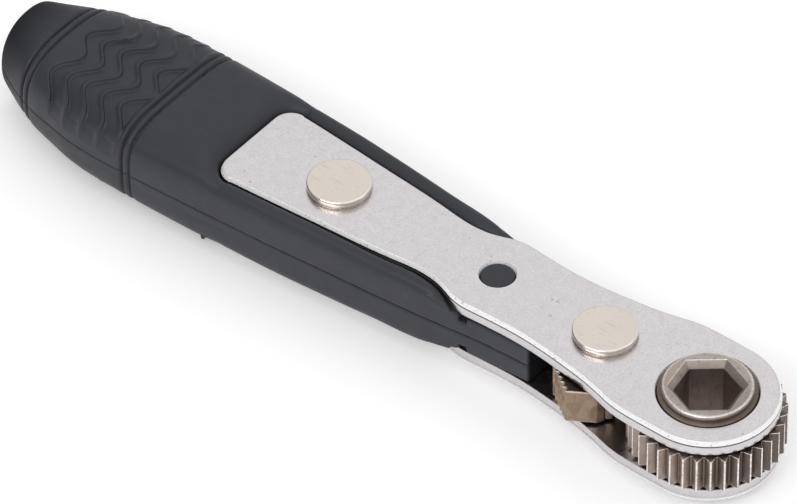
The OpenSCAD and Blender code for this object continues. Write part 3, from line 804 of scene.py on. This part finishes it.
def gear_material():
    return mechanism_steel("gear_steel", low=(0.42, 0.365, 0.34), high=(0.6, 0.54, 0.51),
        tint=(0.47, 0.375, 0.31), worn=(0.95, 0.9, 0.87), shade=0.45, shade_colour=(0.1, 0.07, 0.055))


def pawl_material():
    return mechanism_steel("pawl_steel", low=(0.3, 0.2, 0.11), high=(0.6, 0.5, 0.38),
        tint=(0.22, 0.135, 0.11), worn=(0.9, 0.83, 0.76), shade=0.3, shade_colour=(0.022, 0.018, 0.017))


def handle_material():
    """Black moulding: fine spark-eroded grain, a few lighter rubs, slightly uneven gloss."""
    n = Surface("moulded_handle")
    grain = n.noise(n.coord, 3800.0, 2, 0.5)
    streak = n.noise(n.mapping((0.35, 1.0, 1.0)), 900.0, 4, 0.65)
    base = n.mix(n.noise(n.coord, 120.0, 3), (0.025, 0.0262, 0.033), (0.034, 0.0352, 0.0435))
    scuffs = n.noise(n.mapping((0.5, 1.0, 1.0), (0, 0, 0.6)), 700.0, 5, 0.75)
    base = n.mix(n.ramp(scuffs, [(0.66, 0.0), (0.78, 0.5)]), base, (0.09, 0.09, 0.095))
    # The plastic is one colour, but the tail and the tongue's end face are darker, to match the photo's light
    along = n.node("SeparateXYZ", {0: n.coord}).outputs["X"]
    tail = n.fade(along, -0.0905, -0.0955, 0.0, 0.75)
    nose = n.fade(along, -0.0203, -0.01995, 0.0, 0.9)
    darker = n.math("MAXIMUM", tail, nose)
    n.set(color=n.mix(darker, base, (0.006, 0.0064, 0.008)))
    n.set(specular=n.mix(darker, (0.42, 0.42, 0.42), (0.1, 0.1, 0.1)))
    n.set(rough=n.mix(darker, n.ramp(streak, [(0.3, 0.42), (0.7, 0.56)]), (0.7, 0.7, 0.7)))
    n.set(normal=n.bump(grain, 0.3, 0.000035, n.bump(streak, 0.14, 0.00005)))
    return n.m


def steel_material():
    """Bright steel of the ball and the spring."""
    n = Surface("bearing_steel")
    n.set(color=n.mix(n.noise(n.coord, 700.0, 3), (0.5, 0.5, 0.52), (0.68, 0.68, 0.7)), metallic=1.0)
    n.set(rough=n.ramp(n.noise(n.coord, 1500.0, 2), [(0.3, 0.12), (0.7, 0.24)]))
    return n.m


def floor_material():
    """Pale floor that glows a little, so that shadows on it stay light."""
    n = Surface("pale_floor")
    n.set(color=(0.93, 0.93, 0.935), rough=0.8, specular=0.1)
    n.bsdf.inputs["Emission Color"].default_value = (1, 1, 1, 1)
    n.bsdf.inputs["Emission Strength"].default_value = 0.22
    return n.m


def give(o, material):
    """Puts one material on an object."""
    o.data.materials.clear()
    o.data.materials.append(material)


# ---------------------------------------------------------------- build
def middle_x(node):
    """Where a CAD node's middle lies along the wrench, in millimetres."""
    low, high = mm_box(node)
    return float((low[0] + high[0]) / 2)


PIVOT_X, REAR_X = middle_x("pivot_rivet_pin"), middle_x("rear_rivet_pin")
PLATE, RIVET, GEAR = plate_material(), rivet_material(), gear_material()
PAWL, HANDLE, STEEL = pawl_material(), handle_material(), steel_material()


def place(piece, node, body, material, slot):
    """Puts a visual piece on its body in place of a CAD node."""
    give(piece, material)
    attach(piece, body)
    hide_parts(node)


place(make_handle("handle_upper_moulding", False), "handle_upper_shell", "body", HANDLE, "handle_plastic")
place(make_handle("handle_lower_moulding", True), "handle_lower_shell", "body", HANDLE, "handle_plastic")
place(make_plate("upper_plate", False), "top_side_plate", "body", PLATE, "plate_steel")
place(make_plate("lower_plate", True), "bottom_side_plate", "body", PLATE, "plate_steel")
place(make_gear(), "ratchet_gear", "gear", GEAR, "mechanism_steel")
place(make_pawl(), "reversing_pawl", "pawl", PAWL, "mechanism_steel")
for piece, node in make_rivets():
    place(piece, node, "body", RIVET, "rivet_nickel")
give(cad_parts["detent_ball"], STEEL)
give(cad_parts["detent_spring"], STEEL)

# ---------------------------------------------------------------- stage
floor_z = CAD_BOX[0][2] / MM - 0.02
reach = 900.0
corners = [(x * reach, y * reach, floor_z) for x, y in ((-1, -1), (1, -1), (1, 1), (-1, 1))]
floor = new_object("floor", corners, [(0, 1, 2, 3)])
give(floor, floor_material())


def area_light(name, place, target, size, power):
    """A rectangular light at a place, facing a target. Millimetres and watts."""
    data = bpy.data.lights.new(name, "AREA")
    data.shape = "RECTANGLE"
    data.size, data.size_y = size[0] * MM, size[1] * MM
    data.energy = power
    o = bpy.data.objects.new(name, data)
    bpy.context.scene.collection.objects.link(o)
    o.location = Vector(place) * MM
    o.rotation_euler = (Vector(target) - Vector(place)).to_track_quat("-Z", "Y").to_euler()


area_light("edge_strip", (-100, -438, 402), (-30, 0, 0), (400, 130), 0.62)
area_light("front_strip", (120, -360, 465), (0, 0, 0), (200, 130), 0.32)
area_light("side_softbox", (420, 240, 260), (-10, 0, 0), (240, 160), 0.07)


def make_studio():
    """The world: brighter overhead than at the horizon, with a dark flag to the left in front."""
    flag_direction = (-0.8, -0.6, 0)
    world = bpy.data.worlds.new("studio")
    bpy.context.scene.world = world
    world.use_nodes = True
    n = Nodes(world.node_tree)
    direction = n.node("TexCoord").outputs["Generated"]
    height = n.node("SeparateXYZ", {0: direction}).outputs["Z"]
    toward_flag = n.node("VectorMath", {0: direction, 1: flag_direction}, operation="DOT_PRODUCT")
    sky = n.ramp(height, [(0.0, 0.55), (0.5, 0.72), (1.0, 1.0)])
    flag = n.ramp(toward_flag.outputs["Value"], [(0.45, 1.0), (0.75, 0.3)])
    background = world.node_tree.nodes["Background"].inputs
    n.feed(background["Color"], n.mix(1.0, sky, flag, "MULTIPLY"))
    n.feed(background["Strength"], 1.0)


def make_camera():
    """The camera that took the photo."""
    data = bpy.data.cameras.new("camera")
    cam = bpy.data.objects.new("camera", data)
    bpy.context.scene.collection.objects.link(cam)
    az, el, roll = (math.radians(v) for v in (CAM_AZ, CAM_EL, CAM_ROLL))
    back = Vector((math.sin(az) * math.cos(el), -math.cos(az) * math.cos(el), math.sin(el)))
    level = Vector((math.cos(az), math.sin(az), 0))
    upright = back.cross(level)
    right = level * math.cos(roll) + upright * math.sin(roll)
    up = upright * math.cos(roll) - level * math.sin(roll)
    matrix = Matrix((right, up, back)).transposed().to_4x4()
    matrix.translation = Vector(CAM_PLACE) * MM
    cam.matrix_world = matrix
    data.lens, data.sensor_width, data.sensor_fit = CAM_LENS, CAM_SENSOR, "HORIZONTAL"
    data.clip_start, data.clip_end = CAM_CLIP
    bpy.context.scene.camera = cam


make_studio()
make_camera()
bpy.context.scene.view_settings.view_transform = "Standard"
